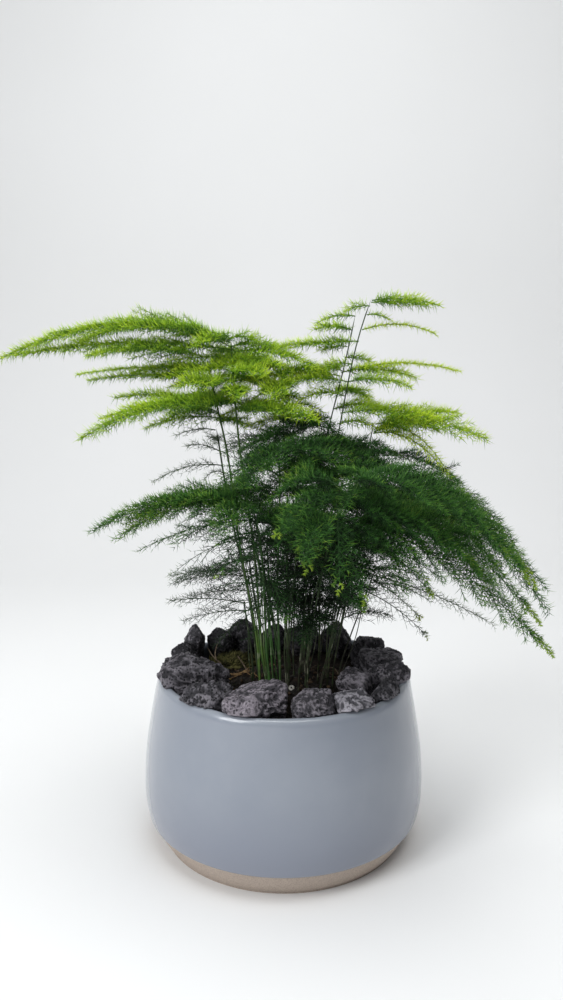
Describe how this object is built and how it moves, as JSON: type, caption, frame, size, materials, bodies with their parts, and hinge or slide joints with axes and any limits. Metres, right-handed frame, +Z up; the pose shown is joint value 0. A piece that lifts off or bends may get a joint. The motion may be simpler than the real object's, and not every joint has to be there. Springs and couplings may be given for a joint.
{
  "type": "potted asparagus fern",
  "caption": "Asparagus fern with layered sprays of fine needle-like leaves on wiry stems, in a round glazed pot topped with dark lava stones.",
  "frame": {"origin": "middle of the pot's flat base, on the surface it stands on", "axes": "+Z up along the pot's axis, -Y towards the front, +X to the right seen from the front"},
  "size_m": [0.2771, 0.1964, 0.2974],
  "materials": {
    "glaze": "gloss pale blue-grey glaze, bare cream foot band",
    "soil": "rough dark potting soil",
    "lava_stone": "rough pitted lava rock",
    "leaf_bright": "satin yellow-green living leaf and stem",
    "leaf_deep": "satin deep green living leaf and stem",
    "leaf_sparse": "satin greyish green living leaf and stem"
  },
  "bodies": {
    "root": {"pot": "glaze", "stem_tall_left": "leaf_bright", "stem_tall_far_left": "leaf_bright", "stem_tall_right": "leaf_bright", "stem_tall_mid_right": "leaf_bright", "stem_bright_right": "leaf_bright", "stem_bright_middle": "leaf_bright", "stem_left_arch": "leaf_deep", "stem_left_sparse": "leaf_sparse", "stem_left_low": "leaf_sparse", "stem_left_lowest": "leaf_sparse", "stem_centre_left": "leaf_deep", "stem_centre": "leaf_deep", "stem_centre_back": "leaf_deep", "stem_centre_right": "leaf_deep", "stem_right_back": "leaf_deep", "stem_right_mid": "leaf_deep", "stem_front": "leaf_deep", "stem_front_left": "leaf_deep", "stem_right_front": "leaf_deep", "stem_right_arch": "leaf_deep", "stem_right_low": "leaf_sparse", "stem_back": "leaf_deep", "stem_back_left": "leaf_deep", "stem_back_right": "leaf_deep", "stem_far_back": "leaf_deep", "stem_young_left": "leaf_deep", "stem_young_front": "leaf_deep", "stem_young_right": "leaf_deep", "stem_young_back": "leaf_deep", "soil": "soil", "stone_left_big": "lava_stone", "stone_left_outer": "lava_stone", "stone_left_front": "lava_stone", "stone_front_big": "lava_stone", "stone_front": "lava_stone", "stone_front_right": "lava_stone", "stone_right_inner": "lava_stone", "stone_right_front": "lava_stone", "stone_right": "lava_stone", "stone_right_back": "lava_stone", "stone_back_right": "lava_stone", "stone_back_tall": "lava_stone", "stone_back": "lava_stone", "stone_back_middle": "lava_stone", "stone_back_left": "lava_stone", "stone_back_small": "lava_stone", "stone_left_upright": "lava_stone", "stone_left_small": "lava_stone"}
  },
  "joints": []
}
